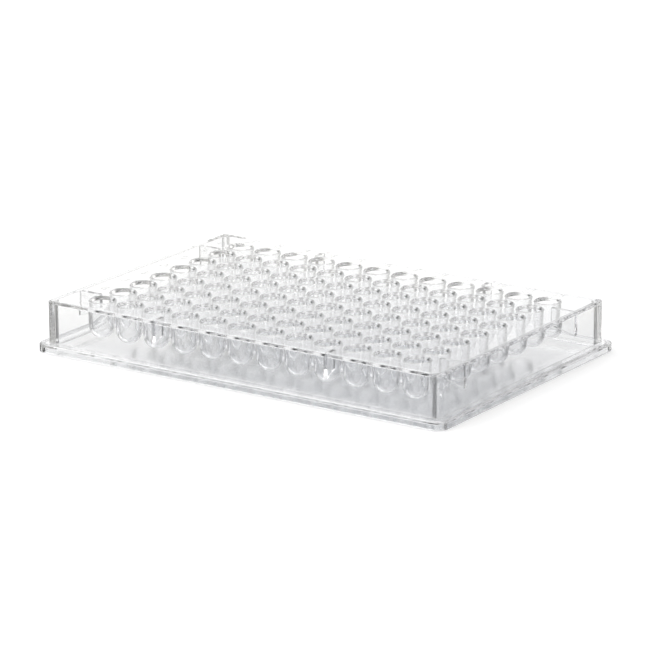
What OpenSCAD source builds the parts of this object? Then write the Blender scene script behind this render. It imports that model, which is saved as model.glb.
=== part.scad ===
// Round-bottom 96-well plate, moulded in one piece of clear polystyrene.
// Millimetres. Origin: centre of the footprint, on the surface that the plate stands on.
// X runs along the long side, Z points up. Column 1 is at -X and row A is at +Y.

/* [Footprint] */
// Length of the base flange, the largest size of the plate
base_l = 127.76; // [124:0.01:156]
// Width of the base flange
base_w = 85.48; // [82:0.01:104]
// Corner radius of the base flange
base_r = 3.18; // [2:0.01:5]
// Height of the base flange, where a gripper holds the plate
flange_h = 2.41; // [2:0.01:4]
// Thickness of the flange's upright rim
flange_wall = 1.4; // [1:0.05:2]

/* [Side wall] */
// Depth of the ledge between the flange and the side wall
ledge = 2.6; // [1.8:0.01:3]
// Thickness of the side wall
wall_t = 1.15; // [0.8:0.05:1.4]
// Outer corner radius of the side wall
wall_r = 0.8; // [0.4:0.1:3]
// Inner corner radius of the side wall
wall_inner_r = 2.2; // [1:0.1:4]
// Depth of the recess under the flange that drops over the plate below in a stack
nest_h = 1.4; // [0.8:0.05:1.6]

/* [Deck] */
// Height of the deck's top surface above the base
deck_z = 13.9; // [12:0.1:18]
// Thickness of the deck
deck_t = 1.1; // [0.8:0.05:1.6]

/* [Wells] */
// Wells along the long side
columns = 12; // [2:1:12]
// Wells along the short side
rows = 8; // [2:1:8]
// Distance from well to well, both ways
pitch = 9; // [8.6:0.1:9.4]
// Inner radius under the mouth's lead-in
mouth_r = 3.2; // [3:0.05:3.3]
// Radius of the mouth in the deck's top surface, at the top of the lead-in
lead_r = 3.47; // [3.35:0.01:3.9]
// Depth of the lead-in that narrows the mouth
lead_h = 0.4; // [0.2:0.05:0.8]
// Outer radius of a well where it hangs from the deck
root_r = 3.6; // [3.5:0.05:4.1]
// Outer radius of the round bottom
bowl_r = 3.47; // [3:0.01:3.6]
// Thickness of the round bottom
bowl_t = 0.67; // [0.5:0.01:1]
// Clearance under the round bottom
bowl_clear = 3.55; // [2.5:0.05:5]

/* [Ribs] */
// Thickness of a rib between the deck and the side wall
rib_t = 1.2; // [0.8:0.05:1.6]
// Wells from the plate's centre line to each rib, which stands midway between two wells
rib_wells = 3; // [1:1:3]
// Height of a rib's foot on the side wall
rib_foot_z = 7; // [5:0.1:9]
// Height of a rib's lower edge at its inner end
rib_tip_z = 8.8; // [7:0.1:11]
// Gap between a rib's inner end and the line of the outermost well centres
rib_gap = 4; // [3.5:0.1:5]

/* [Hidden] */
$fn = 96;
// Overshoot of a cutting shape past the surface that it opens
cut = 1;

wall_l = base_l - 2 * ledge;
wall_w = base_w - 2 * ledge;
deck_under_z = deck_z - deck_t;
deck_mid_z = deck_z - deck_t / 2;
lead_z = deck_z - lead_h;
bowl_z = bowl_clear + bowl_r;
bowl_inner_r = bowl_r - bowl_t;
columns_l = (columns - 1) * pitch;
rows_w = (rows - 1) * pitch;
rib_pos = rib_wells * pitch;

// Angle at which a straight wall leaves a circle of radius r centred at height z
// so that it is tangent to the circle and passes through the point [top_r, top_z].
function wall_lean(r, z, top_r, top_z) =
    let (reach = norm([top_r, top_z - z]))
    atan2(top_r, top_z - z) - asin(r / reach);

// Rectangle with round corners, centred on the origin
module rounded_plan(length, width, r) {
    square([length - 2 * r, width], center = true);
    square([length, width - 2 * r], center = true);
    for (x = [-1, 1], y = [-1, 1])
        translate([x * (length / 2 - r), y * (width / 2 - r)])
            circle(r);
}

// Upright block on the rounded plan, from height z0 to z1
module block(length, width, r, z0, z1) {
    translate([0, 0, z0])
        linear_extrude(z1 - z0)
            rounded_plan(length, width, r);
}

// Outer form: the side wall with its deck, and the flange that it steps out to
module outer_form() {
    block(base_l, base_w, base_r, 0, flange_h);
    block(wall_l, wall_w, wall_r, 0, deck_z);
}

// The hollow under the deck, and the wider recess at the base for stacking
module underside_hollow() {
    block(
        wall_l - 2 * wall_t, wall_w - 2 * wall_t, wall_inner_r,
        -cut, deck_under_z
    );
    block(
        base_l - 2 * flange_wall, base_w - 2 * flange_wall, base_r - flange_wall,
        -cut, nest_h
    );
}

// Half section of a round-bottomed tube: a bowl of radius r centred at height z,
// a wall tangent to it that leans out to top_r at top_z, and a straight mouth to end_z
module tube_section(r, z, top_r, top_z, end_z) {
    lean = wall_lean(r, z, top_r, top_z);
    leave_x = r * cos(lean);
    leave_z = z - r * sin(lean);
    intersection() {
        translate([0, z])
            circle(r);
        translate([0, z - r - cut])
            square([leave_x, leave_z - z + r + cut]);
    }
    polygon([
        [0, leave_z],
        [leave_x, leave_z],
        [top_r, top_z],
        [top_r, end_z],
        [0, end_z]
    ]);
}

// Outside of one well, from the round bottom up into the deck
module well_body() {
    rotate_extrude()
        tube_section(bowl_r, bowl_z, root_r, deck_under_z, deck_mid_z);
}

// Inside of one well, opened through the deck by a mouth with a lead-in
module well_cavity() {
    rotate_extrude() {
        tube_section(bowl_inner_r, bowl_z, mouth_r, lead_z, deck_z);
        polygon([
            [0, lead_z],
            [mouth_r, lead_z],
            [lead_r, deck_z],
            [lead_r, deck_z + cut],
            [0, deck_z + cut]
        ]);
    }
}

// Puts a copy of its child on every well centre
module on_well_centres() {
    for (column = [0:columns - 1], row = [0:rows - 1])
        translate([column * pitch - columns_l / 2, row * pitch - rows_w / 2])
            children();
}

// Rib that hangs from the deck and meets the inside of the side wall. It runs in
// from the wall at +X over reach, and its lower edge rises towards the wells.
module rib(wall_at, reach) {
    seat = wall_t / 2;
    slope = (rib_tip_z - rib_foot_z) / reach;
    translate([wall_at, rib_t / 2, 0])
        rotate([90, 0, 0])
            linear_extrude(rib_t)
                polygon([
                    [seat, rib_foot_z - slope * seat],
                    [seat, deck_mid_z],
                    [-reach, deck_mid_z],
                    [-reach, rib_tip_z]
                ]);
}

// Two ribs on each side wall
module ribs() {
    inner_x = wall_l / 2 - wall_t;
    inner_y = wall_w / 2 - wall_t;
    for (side = [0, 180], offset = [-rib_pos, rib_pos]) {
        rotate([0, 0, side])
            translate([0, offset, 0])
                rib(inner_x, inner_x - columns_l / 2 - rib_gap);
        rotate([0, 0, side + 90])
            translate([0, offset, 0])
                rib(inner_y, inner_y - rows_w / 2 - rib_gap);
    }
}

// The whole moulding
module well_plate() {
    color("gainsboro", 0.5)
        difference() {
            union() {
                difference() {
                    outer_form();
                    underside_hollow();
                }
                ribs();
                on_well_centres() well_body();
            }
            on_well_centres() well_cavity();
        }
}

well_plate();
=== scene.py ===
"""Looks of a clear, one-piece well plate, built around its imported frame.

Metres, Z up. The origin is the centre of the footprint, on the surface that the plate
stands on. Column 1 is at -X and row A is at +Y.
"""

import logging
import math
from dataclasses import dataclass, field
from enum import Enum
from typing import Any, Iterator

import bmesh
import bpy
from mathutils import Matrix, Vector

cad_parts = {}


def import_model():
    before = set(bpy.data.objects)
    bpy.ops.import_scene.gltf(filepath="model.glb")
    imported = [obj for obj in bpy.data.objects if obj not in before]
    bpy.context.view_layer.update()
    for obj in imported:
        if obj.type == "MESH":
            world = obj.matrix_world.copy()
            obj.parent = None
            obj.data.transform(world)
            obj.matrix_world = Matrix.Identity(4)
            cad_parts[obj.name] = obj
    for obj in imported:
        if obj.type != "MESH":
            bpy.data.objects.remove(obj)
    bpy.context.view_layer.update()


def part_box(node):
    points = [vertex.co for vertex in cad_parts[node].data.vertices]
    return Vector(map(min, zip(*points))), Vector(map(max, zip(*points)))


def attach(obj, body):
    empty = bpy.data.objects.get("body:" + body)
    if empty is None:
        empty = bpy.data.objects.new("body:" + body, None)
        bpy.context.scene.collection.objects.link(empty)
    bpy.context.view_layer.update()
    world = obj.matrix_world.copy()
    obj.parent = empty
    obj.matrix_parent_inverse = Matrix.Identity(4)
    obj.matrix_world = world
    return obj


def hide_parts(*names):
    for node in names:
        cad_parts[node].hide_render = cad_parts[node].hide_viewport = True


LOG = logging.getLogger("well_plate")
MM = 0.001
FLAT = 1e-7
WHITE = (1.0, 1.0, 1.0, 1.0)
BLACK = (0.0, 0.0, 0.0, 1.0)


class Ray(Enum):
    """Kinds of ray that a light path can be asked about."""

    CAMERA = "Is Camera Ray"
    GLOSSY = "Is Glossy Ray"
    TRANSMISSION = "Is Transmission Ray"


class Sheet(Enum):
    """The two faces of the deck, by the way that they look."""

    TOP = 1
    UNDERSIDE = -1


# --------------------------------------------------------------------------- shaders


class Wire:
    """An output socket on which Python's operators add Math nodes."""

    def __init__(self, graph: "Graph", socket: bpy.types.NodeSocket) -> None:
        """Keeps the socket and the graph that it belongs to."""
        self.graph = graph
        self.socket = socket

    def __add__(self, other: "Wire | float") -> "Wire":
        """Sum."""
        return self.graph.math("ADD", self, other)

    def __sub__(self, other: "Wire | float") -> "Wire":
        """Difference."""
        return self.graph.math("SUBTRACT", self, other)

    def __rsub__(self, other: "Wire | float") -> "Wire":
        """Difference, with the wire second."""
        return self.graph.math("SUBTRACT", other, self)

    def __mul__(self, other: "Wire | float") -> "Wire":
        """Product."""
        return self.graph.math("MULTIPLY", self, other)

    def __truediv__(self, other: "Wire | float") -> "Wire":
        """Quotient."""
        return self.graph.math("DIVIDE", self, other)

    def __pow__(self, other: "Wire | float") -> "Wire":
        """Power."""
        return self.graph.math("POWER", self, other)

    __radd__ = __add__
    __rmul__ = __mul__

    def or_(self, other: "Wire | float") -> "Wire":
        """The larger of the two."""
        return self.graph.math("MAXIMUM", self, other)


class Graph:
    """A node tree that is written as expressions."""

    def __init__(self, tree: bpy.types.NodeTree) -> None:
        """Empties the tree and keeps it."""
        tree.nodes.clear()
        self.tree = tree

    def node(
        self, kind: str, settings: dict[str, Any] | None = None, **values: Any
    ) -> bpy.types.Node:
        """Adds a node.

        Args:
            kind: The node's type, such as "ShaderNodeMath".
            settings: Properties of the node, which are set before its sockets.
            **values: Values or wires for input sockets. A key is the socket's name with
                underscores for spaces, or "i" and a number for its place.

        Returns:
            The new node.
        """
        made = self.tree.nodes.new(kind)
        for name, value in (settings or {}).items():
            setattr(made, name, value)
        for key, value in values.items():
            by_place = key[0] == "i" and key[1:].isdigit()
            socket = made.inputs[int(key[1:]) if by_place else key.replace("_", " ")]
            if isinstance(value, Wire):
                self.tree.links.new(value.socket, socket)
            else:
                socket.default_value = value
        return made

    def wire(self, node: bpy.types.Node, output: str | int = 0) -> Wire:
        """One output of a node, as a wire."""
        return Wire(self, node.outputs[output])

    def math(self, operation: str, first: Any, second: Any) -> Wire:
        """The result of a Math node on two wires or numbers."""
        node = self.node("ShaderNodeMath", {"operation": operation}, i0=first, i1=second)
        return self.wire(node)

    def noise(self, place: Wire, scale: float, detail: float = 2.0) -> Wire:
        """Noise from 0 to 1 on the given coordinates."""
        node = self.node("ShaderNodeTexNoise", None, Vector=place, Scale=scale, Detail=detail)
        return self.wire(node)

    def remap(self, value: Wire, start: float, end: float, low: float, high: float) -> Wire:
        """Smoothly carries one range of numbers over to another.

        Args:
            value: The number to carry over.
            start: Where the first range starts.
            end: Where the first range ends.
            low: The result at the start and before it.
            high: The result at the end and past it.

        Returns:
            The carried number.
        """
        node = self.node(
            "ShaderNodeMapRange",
            {"interpolation_type": "SMOOTHSTEP"},
            i0=value, i1=start, i2=end, i3=low, i4=high,
        )
        return self.wire(node)

    def mix_colour(self, share: Wire, first: tuple, second: tuple) -> Wire:
        """A colour between two colours."""
        node = self.node("ShaderNodeMix", {"data_type": "RGBA"}, i0=share, i6=first, i7=second)
        return self.wire(node, 2)

    def seen_by(self, *rays: Ray) -> Wire:
        """Tells kinds of ray apart.

        Args:
            *rays: The kinds of ray to ask about.

        Returns:
            1 where the path is one of those kinds, and 0 elsewhere.
        """
        path = self.node("ShaderNodeLightPath")
        found = self.wire(path, rays[0].value)
        for ray in rays[1:]:
            found = found.or_(self.wire(path, ray.value))
        return found


@dataclass(frozen=True)
class ClearPlastic:
    """Crystal-clear moulded polystyrene with a faint cool tint."""

    tint: tuple = (0.992, 0.993, 0.996, 1.0)
    deep_tint: tuple = (0.983, 0.986, 0.991, 1.0)
    index: float = 1.59
    polish: float = 0.0
    polish_spread: float = 0.02
    cloud_scale: float = 90.0
    ripple_scale: float = 260.0
    ripple_height: float = 0.1 * MM
    ripple: float = 0.012

    def material(self) -> bpy.types.Material:
        """Makes the material.

        Returns:
            A clear plastic whose tint, polish and mould ripple vary over the surface.
        """
        made = bpy.data.materials.new("clear_plastic")
        made.use_nodes = True
        graph = Graph(made.node_tree)
        place = graph.wire(graph.node("ShaderNodeTexCoord"), "Object")
        cloud = graph.noise(place, self.cloud_scale)
        ripple = graph.noise(place, self.ripple_scale, 1.0)
        relief = graph.node(
            "ShaderNodeBump", None,
            Strength=self.ripple, Distance=self.ripple_height, Height=ripple,
        )
        surface = graph.node(
            "ShaderNodeBsdfPrincipled",
            None,
            Base_Color=graph.mix_colour(cloud, self.tint, self.deep_tint),
            Roughness=cloud * self.polish_spread + self.polish,
            IOR=self.index,
            Transmission_Weight=1.0,
            Normal=graph.wire(relief),
        )
        graph.node("ShaderNodeOutputMaterial", None, Surface=graph.wire(surface))
        return made


@dataclass(frozen=True)
class PaleFloor:
    """Plain white table top that keeps a soft shadow.

    The plastic shows it with a satin face that glows with a painted shadow of the plate:
    a cool grey on the camera's side, fading to a warm white behind the plate.
    """

    colour: tuple = (0.9, 0.9, 0.9, 1.0)
    roughness: float = 0.9
    glow: float = 0.4
    sheen: tuple = (0.98, 0.98, 0.975, 1.0)
    # painted shadow: the satin glow is a dark cool grey on the camera's side and a warm white
    # behind the plate
    painted_shadow_tone: tuple = (0.07, 0.072, 0.08, 1.0)
    far_tone: tuple = (0.28, 0.275, 0.25, 1.0)
    shadow_fade_from: float = -20.0 * MM
    shadow_fade_to: float = 70.0 * MM
    gleam: float = 0.95
    polish: float = 0.2

    def matt(self, graph: Graph) -> Wire:
        """Makes the plain face, with a glow that only the camera picks up.

        Args:
            graph: The graph to add to.

        Returns:
            The shader of the face that lights the room.
        """
        glow = graph.seen_by(Ray.CAMERA) * self.glow
        return graph.wire(graph.node(
            "ShaderNodeBsdfPrincipled",
            None,
            Base_Color=self.colour,
            Roughness=self.roughness,
            Specular_IOR_Level=0.0,
            Emission_Color=graph.mix_colour(glow, BLACK, WHITE),
            Emission_Strength=1.0,
        ))

    def satin(self, graph: Graph, away: Vector) -> Wire:
        """Makes the shiny face, whose glow is a painted shadow graded from near to far.

        Args:
            graph: The graph to add to.
            away: The level direction that points away from the camera.

        Returns:
            The shader of the face that glossy and clear things show.
        """
        place = graph.wire(graph.node("ShaderNodeTexCoord"), "Object")
        split = graph.node("ShaderNodeSeparateXYZ", None, i0=place)
        depth = graph.wire(split, 0) * away.x + graph.wire(split, 1) * away.y
        # painted shadow of the plate on the table, which only glossy and clear surfaces see: dark
        # near, light far
        painted_shadow_fade = graph.remap(depth, self.shadow_fade_from, self.shadow_fade_to, 0.0, 1.0)
        return graph.wire(graph.node(
            "ShaderNodeBsdfPrincipled",
            None,
            Base_Color=self.sheen,
            Metallic=self.gleam,
            Roughness=self.polish,
            Emission_Color=graph.mix_colour(painted_shadow_fade, self.painted_shadow_tone, self.far_tone),
            Emission_Strength=1.0,
        ))

    def material(self, away: Vector) -> bpy.types.Material:
        """Makes the material.

        Args:
            away: The level direction that points away from the camera.

        Returns:
            Matt white for the camera and the room, satin for what shines or is clear.
        """
        made = bpy.data.materials.new("pale_floor")
        made.use_nodes = True
        graph = Graph(made.node_tree)
        face = graph.node(
            "ShaderNodeMixShader",
            None,
            i0=graph.seen_by(Ray.GLOSSY, Ray.TRANSMISSION),
            i1=self.matt(graph),
            i2=self.satin(graph, away),
        )
        graph.node("ShaderNodeOutputMaterial", None, Surface=graph.wire(face))
        return made


# --------------------------------------------------------------------------- meshes


def mesh_object(name: str, shape: bmesh.types.BMesh) -> bpy.types.Object:
    """Turns a bmesh into an object in the scene, and frees the bmesh.

    Args:
        name: The new object's name.
        shape: The finished shape.

    Returns:
        The object, at the origin.
    """
    mesh = bpy.data.meshes.new(name)
    shape.to_mesh(mesh)
    shape.free()
    made = bpy.data.objects.new(name, mesh)
    bpy.context.scene.collection.objects.link(made)
    return made


class Pen:
    """Draws a half section in the XZ plane, and turns it about the Z axis."""

    def __init__(self, x: float, z: float) -> None:
        """Puts the pen down at a point."""
        self.shape = bmesh.new()
        self.tip = self.shape.verts.new((x, 0.0, z))

    def line(self, x: float, z: float, steps: int = 1) -> "Pen":
        """Draws a straight line to a point.

        Args:
            x: The point along X.
            z: The point along Z.
            steps: The number of equal pieces.

        Returns:
            The pen.
        """
        reach = Vector((x, 0.0, z)) - self.tip.co
        for _ in range(steps):
            made = bmesh.ops.extrude_vert_indiv(self.shape, verts=[self.tip])
            self.tip = made["verts"][0]
            bmesh.ops.translate(self.shape, verts=[self.tip], vec=reach / steps)
        return self

    def arc(self, x: float, z: float, angle: float, steps: int) -> "Pen":
        """Draws an arc.

        Args:
            x: The arc's centre along X.
            z: The arc's centre along Z.
            angle: The angle that the arc turns, in radians, positive from +Z towards +X.
            steps: The number of straight pieces.

        Returns:
            The pen.
        """
        made = bmesh.ops.spin(
            self.shape, geom=[self.tip], cent=(x, 0.0, z), axis=(0.0, 1.0, 0.0),
            angle=angle, steps=steps,
        )
        self.tip = next(v for v in made["geom_last"] if isinstance(v, bmesh.types.BMVert))
        return self

    def turned(self, steps: int) -> bmesh.types.BMesh:
        """Turns the section all the way round.

        Args:
            steps: The number of flat pieces round the turn.

        Returns:
            The turned skin, closed at the pole that lies on the axis.
        """
        bmesh.ops.spin(
            self.shape, geom=[*self.shape.verts, *self.shape.edges], cent=(0, 0, 0),
            axis=(0, 0, 1), angle=math.tau, steps=steps, use_merge=True,
        )
        bmesh.ops.remove_doubles(self.shape, verts=self.shape.verts, dist=FLAT)
        return self.shape


@dataclass(frozen=True)
class Outline:
    """One level of the shell: a rectangle with round corners, and the rounding of its edge."""

    length: float
    width: float
    corner: float
    z: float
    edge: float

    def plan(self, shape: bmesh.types.BMesh, steps: int) -> list[bmesh.types.BMEdge]:
        """Adds the outline to a shape as one flat face.

        Args:
            shape: The shape to add to.
            steps: The number of straight pieces in each round corner.

        Returns:
            The face's edges.
        """
        size = Matrix.Diagonal((self.length, self.width, 1.0, 1.0))
        made = bmesh.ops.create_grid(
            shape, x_segments=1, y_segments=1, size=0.5,
            matrix=Matrix.Translation((0.0, 0.0, self.z)) @ size,
        )
        rounded = bmesh.ops.bevel(
            shape, geom=made["verts"], affect="VERTICES", offset=self.corner,
            offset_type="OFFSET", segments=steps, profile=0.5, material=-1,
        )
        return list(dict.fromkeys(e for v in rounded["verts"] for e in v.link_edges))

    def corner_centre(self, point: Vector) -> Vector:
        """Finds the round corner that is nearest to a point.

        Args:
            point: A point near the outline.

        Returns:
            The centre of that corner.
        """
        return Vector((
            math.copysign(self.length / 2 - self.corner, point.x),
            math.copysign(self.width / 2 - self.corner, point.y),
            self.z,
        ))

    def carry(self, point: Vector, other: "Outline") -> Vector:
        """Carries a point over to another outline.

        Args:
            point: A point on this outline.
            other: The outline to carry it to.

        Returns:
            The point that matches it on the other outline.
        """
        heading = (point - self.corner_centre(point)) / self.corner
        return other.corner_centre(point) + heading * other.corner

    def holds(self, point: Vector) -> bool:
        """Tells whether a point is on this outline.

        Args:
            point: A vertex of the shell.

        Returns:
            True if the point lies on one of this outline's round corners.
        """
        away = point - self.corner_centre(point)
        on_corner = math.hypot(away.x, away.y)
        return abs(away.z) < FLAT and abs(on_corner - self.corner) < 10 * FLAT


# --------------------------------------------------------------------------- the plate


@dataclass
class Shell:
    """Side wall, base flange and stacking recess, as one skin between the deck's two faces."""

    base_l: float
    base_w: float
    deck_z: float
    base_r: float = 3.18 * MM
    flange_h: float = 2.41 * MM
    flange_wall: float = 1.4 * MM
    ledge: float = 2.6 * MM
    wall_t: float = 1.15 * MM
    wall_r: float = 0.8 * MM
    wall_inner_r: float = 2.2 * MM
    nest_h: float = 1.4 * MM
    deck_t: float = 1.1 * MM
    deck_edge: float = 0.3 * MM
    step_edge: float = 0.15 * MM
    flange_edge: float = 0.4 * MM
    foot_edge: float = 0.3 * MM
    hollow_edge: float = 0.2 * MM
    root_edge: float = 0.25 * MM
    corner_steps: int = 12
    edge_steps: int = 3

    @property
    def wall_l(self) -> float:
        """Length over the side wall."""
        return self.base_l - 2 * self.ledge

    @property
    def wall_w(self) -> float:
        """Width over the side wall."""
        return self.base_w - 2 * self.ledge

    @property
    def deck_under_z(self) -> float:
        """Height of the deck's underside."""
        return self.deck_z - self.deck_t

    def outlines(self) -> list[Outline]:
        """Lists the levels of the skin.

        Returns:
            The outlines, from the deck's top out, down and in to its underside.
        """
        base = (self.base_l, self.base_w, self.base_r)
        wall = (self.wall_l, self.wall_w, self.wall_r)
        thick, rim = 2 * self.wall_t, 2 * self.flange_wall
        hollow = (self.wall_l - thick, self.wall_w - thick, self.wall_inner_r)
        recess = (self.base_l - rim, self.base_w - rim, self.base_r - self.flange_wall)
        return [
            Outline(*wall, self.deck_z, self.deck_edge),
            Outline(*wall, self.flange_h, self.step_edge),
            Outline(*base, self.flange_h, self.flange_edge),
            Outline(*base, 0.0, self.foot_edge),
            Outline(*recess, 0.0, self.hollow_edge),
            Outline(*recess, self.nest_h, self.step_edge),
            Outline(*hollow, self.nest_h, self.hollow_edge),
            Outline(*hollow, self.deck_under_z, self.root_edge),
        ]

    def build(self) -> bmesh.types.BMesh:
        """Makes the closed block that the ribs and marks are joined to.

        Returns:
            The skin with a plain deck, its long edges rounded.
        """
        shape = bmesh.new()
        levels = self.outlines()
        loop = levels[0].plan(shape, self.corner_steps)
        for level, following in zip(levels, levels[1:]):
            made = bmesh.ops.extrude_edge_only(shape, edges=loop)["geom"]
            for vert in (v for v in made if isinstance(v, bmesh.types.BMVert)):
                vert.co = level.carry(vert.co, following)
            loop = [e for e in made if isinstance(e, bmesh.types.BMEdge)]
        bmesh.ops.contextual_create(shape, geom=loop)
        bmesh.ops.recalc_face_normals(shape, faces=shape.faces)
        for level in levels:
            self.round_edge(shape, level)
        return shape

    def round_edge(self, shape: bmesh.types.BMesh, level: Outline) -> None:
        """Rounds the long edge that runs along one outline.

        Args:
            shape: The shell.
            level: The outline.
        """
        loop = [e for e in shape.edges if all(level.holds(v.co) for v in e.verts)]
        bmesh.ops.bevel(
            shape, geom=loop, affect="EDGES", offset=level.edge, offset_type="OFFSET",
            segments=self.edge_steps, profile=0.5, material=-1,
        )


@dataclass
class Wells:
    """The grid of round-bottomed wells that hang from the deck."""

    deck_z: float
    deck_under_z: float
    columns: int = 12
    rows: int = 8
    pitch: float = 9.0 * MM
    mouth_r: float = 3.2 * MM
    lead_r: float = 3.47 * MM
    lead_h: float = 0.4 * MM
    lead_round: float = 0.08 * MM
    root_r: float = 3.6 * MM
    bowl_r: float = 3.47 * MM
    bowl_t: float = 0.67 * MM
    bowl_clear: float = 3.55 * MM
    root_round: float = 0.25 * MM
    turn_steps: int = 32
    wall_steps: int = 2
    bowl_steps: int = 7

    @staticmethod
    def lean(radius: float, z: float, top_r: float, top_z: float) -> float:
        """Angle from the vertical at which a wall leaves a bowl to reach a ring above it.

        Args:
            radius: The bowl's radius.
            z: The height of the bowl's centre.
            top_r: The ring's radius.
            top_z: The ring's height.

        Returns:
            The angle in radians, at which the wall is tangent to the bowl.
        """
        rise = top_z - z
        return math.atan2(top_r, rise) - math.asin(radius / math.hypot(top_r, rise))

    def cavity(self) -> bmesh.types.BMesh:
        """Makes the inside of one well.

        Returns:
            The skin from the deck's top down to its pole.
        """
        centre_z, radius = self.bowl_clear + self.bowl_r, self.bowl_r - self.bowl_t
        mouth = Vector((self.mouth_r, self.deck_z - self.lead_h))
        crest = Vector((self.lead_r, self.deck_z))
        eased = crest + (mouth - crest).normalized() * self.lead_round
        lean = self.lean(radius, centre_z, *mouth)
        pen = Pen(crest.x + self.lead_round, crest.y)
        pen.line(*eased).line(*mouth)
        leave = (radius * math.cos(lean), centre_z - radius * math.sin(lean))
        pen.line(*leave, self.wall_steps)
        pen.arc(0.0, centre_z, math.pi / 2 - lean, self.bowl_steps)
        return pen.turned(self.turn_steps)

    def body(self) -> bmesh.types.BMesh:
        """Makes the outside of one well.

        Returns:
            The skin from the deck's underside down to its pole.
        """
        centre_z = self.bowl_clear + self.bowl_r
        lean = self.lean(self.bowl_r, centre_z, self.root_r, self.deck_under_z)
        edge_r = self.root_r + self.root_round * (1.0 - math.tan(lean))
        pen = Pen(edge_r, self.deck_under_z)
        pen.arc(edge_r, self.deck_under_z - self.root_round, -math.pi / 2, self.wall_steps)
        leave = (self.bowl_r * math.cos(lean), centre_z - self.bowl_r * math.sin(lean))
        pen.line(*leave, self.wall_steps)
        pen.arc(0.0, centre_z, math.pi / 2 - lean, self.bowl_steps)
        return pen.turned(self.turn_steps)

    def centre(self, column: int, row: int) -> Vector:
        """Finds the centre of a well.

        Args:
            column: The well's column, from 0 at -X.
            row: The well's row, from 0 at +Y.

        Returns:
            The centre, in plan.
        """
        return Vector((
            (column - (self.columns - 1) / 2) * self.pitch,
            ((self.rows - 1) / 2 - row) * self.pitch,
            0.0,
        ))

    def centres(self) -> Iterator[Vector]:
        """Lists the wells.

        Yields:
            The centre of each well, in plan.
        """
        for column in range(self.columns):
            for row in range(self.rows):
                yield self.centre(column, row)

    def add_to(self, shape: bmesh.types.BMesh) -> None:
        """Adds every well's two skins to a shape, open where they meet the deck.

        Args:
            shape: The plate, with its deck open.
        """
        for make in (self.cavity, self.body):
            skin = bpy.data.meshes.new("well_skin")
            well = make()
            well.to_mesh(skin)
            well.free()
            at = Vector()
            for centre in self.centres():
                skin.transform(Matrix.Translation(centre - at))
                shape.from_mesh(skin)
                at = centre
            bpy.data.meshes.remove(skin)


@dataclass
class Ribs:
    """Eight ribs that tie the deck to the side wall."""

    shell: Shell
    wells: Wells
    thickness: float = 1.2 * MM
    wells_off_centre: int = 3
    foot_z: float = 7.0 * MM
    tip_z: float = 8.8 * MM
    gap: float = 4.0 * MM

    def rib(self, wall_at: float, reach: float) -> bmesh.types.BMesh:
        """One rib, which runs inwards from the wall at +X.

        Args:
            wall_at: The distance from the origin to the wall's inner face.
            reach: How far the rib runs in from there.

        Returns:
            The rib, with its lower edge rising towards the wells.
        """
        seat, top = self.shell.wall_t / 2, self.shell.deck_z - self.shell.deck_t / 2
        slope = (self.tip_z - self.foot_z) / reach
        shape = bmesh.new()
        corners = [
            (wall_at + seat, self.foot_z - slope * seat), (wall_at + seat, top),
            (wall_at - reach, top), (wall_at - reach, self.tip_z),
        ]
        verts = [shape.verts.new((x, -self.thickness / 2, z)) for x, z in corners]
        side = bmesh.ops.contextual_create(shape, geom=verts)["faces"]
        made = bmesh.ops.extrude_face_region(shape, geom=side)["geom"]
        moved = [v for v in made if isinstance(v, bmesh.types.BMVert)]
        bmesh.ops.translate(shape, verts=moved, vec=(0.0, self.thickness, 0.0))
        bmesh.ops.recalc_face_normals(shape, faces=shape.faces)
        return shape

    def build(self) -> bmesh.types.BMesh:
        """Makes all the ribs.

        Returns:
            Two ribs on each side wall.
        """
        made = bmesh.new()
        inner_x = self.shell.wall_l / 2 - self.shell.wall_t
        inner_y = self.shell.wall_w / 2 - self.shell.wall_t
        far_well = self.wells.centre(self.wells.columns - 1, 0)
        offset = self.wells_off_centre * self.wells.pitch
        runs = [(inner_x, far_well.x, 0.0), (inner_y, far_well.y, math.pi / 2)]
        scratch = bpy.data.meshes.new("rib")
        for wall_at, well_at, turn in runs:
            for side in (0.0, math.pi):
                for along in (-offset, offset):
                    rib = self.rib(wall_at, wall_at - well_at - self.gap)
                    place = Matrix.Rotation(side + turn, 4, "Z")
                    bmesh.ops.transform(
                        rib, matrix=place @ Matrix.Translation((0.0, along, 0.0)), verts=rib.verts
                    )
                    rib.to_mesh(scratch)
                    rib.free()
                    made.from_mesh(scratch)
        bpy.data.meshes.remove(scratch)
        return made


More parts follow.
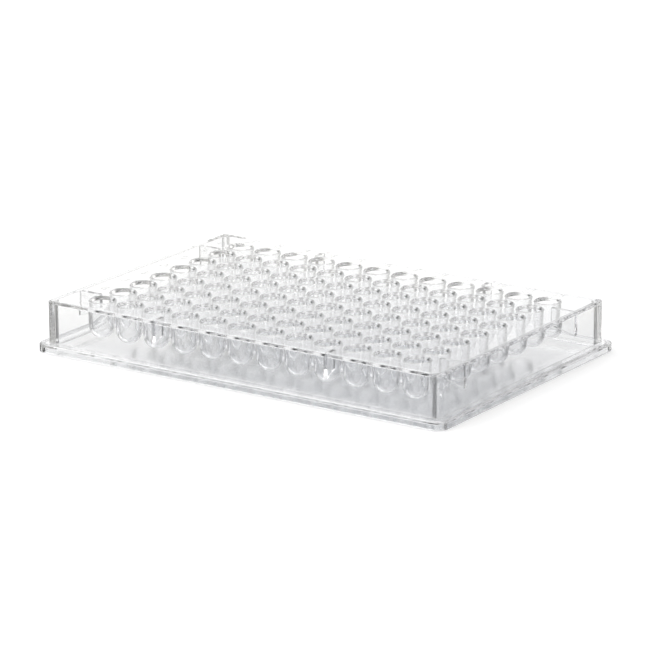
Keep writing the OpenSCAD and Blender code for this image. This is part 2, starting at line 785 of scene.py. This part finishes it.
@dataclass
class GridMarks:
    """Raised row letters and column numerals on the deck."""

    wells: Wells
    deck_z: float
    height: float = 2.4 * MM
    capital_share: float = 0.7
    curve_steps: int = 3
    relief: float = 0.08 * MM
    sunk: float = 0.3 * MM
    letters_in: float = 6.1 * MM
    numerals_in: float = 5.9 * MM

    def places(self) -> Iterator[tuple[str, Vector]]:
        """Lists the marks.

        Yields:
            Each mark's text and the centre that it stands on.
        """
        first = self.wells.centre(0, 0)
        for row in range(self.wells.rows):
            at = self.wells.centre(0, row)
            yield "ABCDEFGH"[row], Vector((at.x - self.letters_in, at.y, 0.0))
        for column in range(self.wells.columns):
            at = self.wells.centre(column, 0)
            yield str(column + 1), Vector((at.x, first.y + self.numerals_in, 0.0))

    def mark(self, text: str, centre: Vector) -> bpy.types.Mesh:
        """Makes one mark.

        Args:
            text: The letter or numeral.
            centre: The point in plan that it is centred on.

        Returns:
            A closed mesh that is sunk a little into the deck, so that it joins it.
        """
        curve = bpy.data.curves.new("mark", "FONT")
        curve.body = text
        curve.size = self.height / self.capital_share
        curve.align_x, curve.align_y = "CENTER", "CENTER"
        curve.resolution_u = self.curve_steps
        curve.extrude = (self.relief + self.sunk) / 2
        letter = bpy.data.objects.new("mark", curve)
        bpy.context.scene.collection.objects.link(letter)
        mesh = bpy.data.meshes.new_from_object(
            letter.evaluated_get(bpy.context.evaluated_depsgraph_get())
        )
        bpy.data.objects.remove(letter)
        middle_z = self.deck_z + (self.relief - self.sunk) / 2
        mesh.transform(Matrix.Translation(centre + Vector((0.0, 0.0, middle_z))))
        return mesh

    def build(self) -> bmesh.types.BMesh:
        """Makes all the marks.

        Returns:
            The marks, closed and facing outwards.
        """
        made = bmesh.new()
        for text, centre in self.places():
            mesh = self.mark(text, centre)
            made.from_mesh(mesh)
            bpy.data.meshes.remove(mesh)
        bmesh.ops.remove_doubles(made, verts=made.verts, dist=FLAT)
        bmesh.ops.dissolve_degenerate(made, dist=20 * FLAT, edges=made.edges)
        bmesh.ops.recalc_face_normals(made, faces=made.faces)
        return made


@dataclass
class WellPlate:
    """The whole moulding."""

    finish: ClearPlastic = field(default_factory=ClearPlastic)
    sharp_from: float = math.radians(40)

    def build(self) -> bpy.types.Object:
        """Builds the plate, dresses it and puts it on the frame.

        Returns:
            The plate, which stands for its CAD node.
        """
        low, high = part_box("well_plate")
        shell = Shell(high.x - low.x, high.y - low.y, high.z)
        wells = Wells(shell.deck_z, shell.deck_under_z)
        ribs = mesh_object("ribs", Ribs(shell, wells).build())
        marks = mesh_object("marks", GridMarks(wells, shell.deck_z).build())
        block = mesh_object("block", shell.build())
        shape = self.joined(block, [ribs, marks])
        self.open_sheets(shape, shell)
        wells.add_to(shape)
        for sheet in Sheet:
            self.fill_sheet(shape, shell, sheet)
        bmesh.ops.recalc_face_normals(shape, faces=shape.faces)
        self.shade(shape)
        plate = mesh_object("clear_plate", shape)
        plate.data.materials.append(self.finish.material())
        weighted = plate.modifiers.new("even_shading", "WEIGHTED_NORMAL")
        weighted.keep_sharp = True
        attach(plate, "root")
        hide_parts("well_plate")
        return plate

    @staticmethod
    def joined(block: bpy.types.Object, parts: list[bpy.types.Object]) -> bmesh.types.BMesh:
        """Unites parts with a block, and removes the objects.

        Args:
            block: The object that the parts are added to.
            parts: The objects to add.

        Returns:
            The united shape.
        """
        for part in parts:
            union = block.modifiers.new(part.name, "BOOLEAN")
            union.operation, union.solver, union.object = "UNION", "EXACT", part
        bpy.context.view_layer.update()
        mesh = bpy.data.meshes.new_from_object(
            block.evaluated_get(bpy.context.evaluated_depsgraph_get())
        )
        shape = bmesh.new()
        shape.from_mesh(mesh)
        bpy.data.meshes.remove(mesh)
        for used in (block, *parts):
            bpy.data.objects.remove(used)
        bmesh.ops.remove_doubles(shape, verts=shape.verts, dist=FLAT)
        return shape

    @staticmethod
    def sheet_z(shell: Shell, sheet: Sheet) -> float:
        """Height of one face of the deck."""
        return shell.deck_z if sheet is Sheet.TOP else shell.deck_under_z

    def open_sheets(self, shape: bmesh.types.BMesh, shell: Shell) -> None:
        """Takes away the deck's two flat faces, up to the marks, ribs and wall.

        Args:
            shape: The plate.
            shell: The shell, which knows the deck's heights.
        """
        for sheet in Sheet:
            z = self.sheet_z(shell, sheet)
            flat = [
                f for f in shape.faces
                if all(abs(v.co.z - z) < FLAT for v in f.verts)
            ]
            bmesh.ops.delete(shape, geom=flat, context="FACES")

    def fill_sheet(self, shape: bmesh.types.BMesh, shell: Shell, sheet: Sheet) -> None:
        """Fills one face of the deck round everything that opens through it.

        Args:
            shape: The plate, with its wells.
            shell: The shell, which knows the deck's heights.
            sheet: The face to fill.
        """
        z = self.sheet_z(shell, sheet)
        rims = [
            e for e in shape.edges
            if e.is_boundary and all(abs(v.co.z - z) < FLAT for v in e.verts)
        ]
        made = bmesh.ops.triangle_fill(
            shape, edges=rims, use_beauty=True, normal=(0.0, 0.0, float(sheet.value))
        )
        side = sheet.name.lower()
        LOG.info("deck %s: %d rim edges, %d faces", side, len(rims), len(made["geom"]))

    def shade(self, shape: bmesh.types.BMesh) -> None:
        """Shades the plate smooth, and keeps its sharp edges sharp.

        Args:
            shape: The plate.
        """
        for face in shape.faces:
            face.smooth = True
        for edge in shape.edges:
            edge.smooth = edge.calc_face_angle(0.0) < self.sharp_from


# --------------------------------------------------------------------------- the studio


@dataclass
class Studio:
    """White table, a soft lamp, a room with pale walls and dim sides, and the camera."""

    target: Vector = field(default_factory=lambda: Vector((0.0, 0.0, 7.0 * MM)))
    eye: Vector = field(default_factory=lambda: Vector((0.5742, -0.8401, 0.3081)))
    lens: float = 222.6
    roll: float = math.radians(-0.41)
    floor_side: float = 6.0
    floor_z: float = -0.02 * MM
    lamp_at: Vector = field(default_factory=lambda: Vector((-0.7, -0.3, 0.9)))
    lamp_side: float = 1.0
    lamp_power: float = 4.0
    bounces: int = 64
    front: float = 0.98
    front_from: tuple = (0.9, 0.985)
    rear: float = 0.7
    rear_from: tuple = (-0.95, -0.5)
    ceiling: float = 0.85
    ceiling_from: tuple = (0.3, 0.7)
    sides: float = 0.01

    @property
    def away(self) -> Vector:
        """The level direction that points away from the camera."""
        return -Vector((self.eye.x, self.eye.y, 0.0)).normalized()

    def build(self) -> None:
        """Makes everything round the object."""
        self.set_floor()
        self.set_world()
        self.set_lamp()
        self.set_camera()
        scene = bpy.context.scene
        scene.view_settings.view_transform = "Standard"
        scene.cycles.max_bounces = self.bounces
        scene.cycles.transmission_bounces = self.bounces
        scene.cycles.glossy_bounces = self.bounces
        scene.cycles.diffuse_bounces = 3

    def set_floor(self) -> None:
        """Lays the table top just under the plate."""
        shape = bmesh.new()
        bmesh.ops.create_grid(
            shape, x_segments=1, y_segments=1, size=self.floor_side / 2,
            matrix=Matrix.Translation((0.0, 0.0, self.floor_z)),
        )
        floor = mesh_object("floor", shape)
        floor.data.materials.append(PaleFloor().material(self.away))

    def set_world(self) -> None:
        """White to the camera. The rest sees two pale walls and a ceiling, with dim sides."""
        world = bpy.data.worlds.new("studio")
        bpy.context.scene.world = world
        world.use_nodes = True
        graph = Graph(world.node_tree)
        way = graph.wire(graph.node("ShaderNodeTexCoord"), "Generated")
        split = graph.node("ShaderNodeSeparateXYZ", None, i0=way)
        x, y, z = (graph.wire(split, place) for place in range(3))
        level = (x * x + y * y) ** 0.5
        facing = (x * self.away.x + y * self.away.y) / level
        ceiling = graph.remap(z, *self.ceiling_from, 0.0, self.ceiling)
        front = graph.remap(facing, *self.front_from, self.sides, self.front)
        rear = graph.remap(facing, *self.rear_from, self.rear, self.sides)
        seen = graph.seen_by(Ray.CAMERA)
        strength = front.or_(rear).or_(ceiling) * (1.0 - seen) + seen
        back = graph.node("ShaderNodeBackground", None, Color=WHITE, Strength=strength)
        graph.node("ShaderNodeOutputWorld", None, Surface=graph.wire(back))

    def set_lamp(self) -> None:
        """Hangs a soft square lamp that looks at the object."""
        data = bpy.data.lights.new("key", "AREA")
        data.shape, data.size, data.energy = "SQUARE", self.lamp_side, self.lamp_power
        lamp = bpy.data.objects.new("key", data)
        lamp.location = self.lamp_at
        lamp.rotation_euler = (self.target - self.lamp_at).to_track_quat("-Z", "Y").to_euler()
        bpy.context.scene.collection.objects.link(lamp)

    def set_camera(self) -> None:
        """Sets up the long lens that looks a little down on the near corner."""
        data = bpy.data.cameras.new("camera")
        data.lens = self.lens
        camera = bpy.data.objects.new("camera", data)
        aim = (self.target - self.eye).to_track_quat("-Z", "Y").to_matrix()
        turn = aim @ Matrix.Rotation(self.roll, 3, "Z")
        camera.matrix_world = Matrix.Translation(self.eye) @ turn.to_4x4()
        bpy.context.scene.collection.objects.link(camera)
        bpy.context.scene.camera = camera


def main() -> None:
    """Builds the scene round the frame."""
    logging.basicConfig(level=logging.INFO, format="%(name)s: %(message)s")
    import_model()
    plate = WellPlate().build()
    LOG.info("%s: %d faces", plate.name, len(plate.data.polygons))
    Studio().build()


if __name__ == "__main__":
    main()
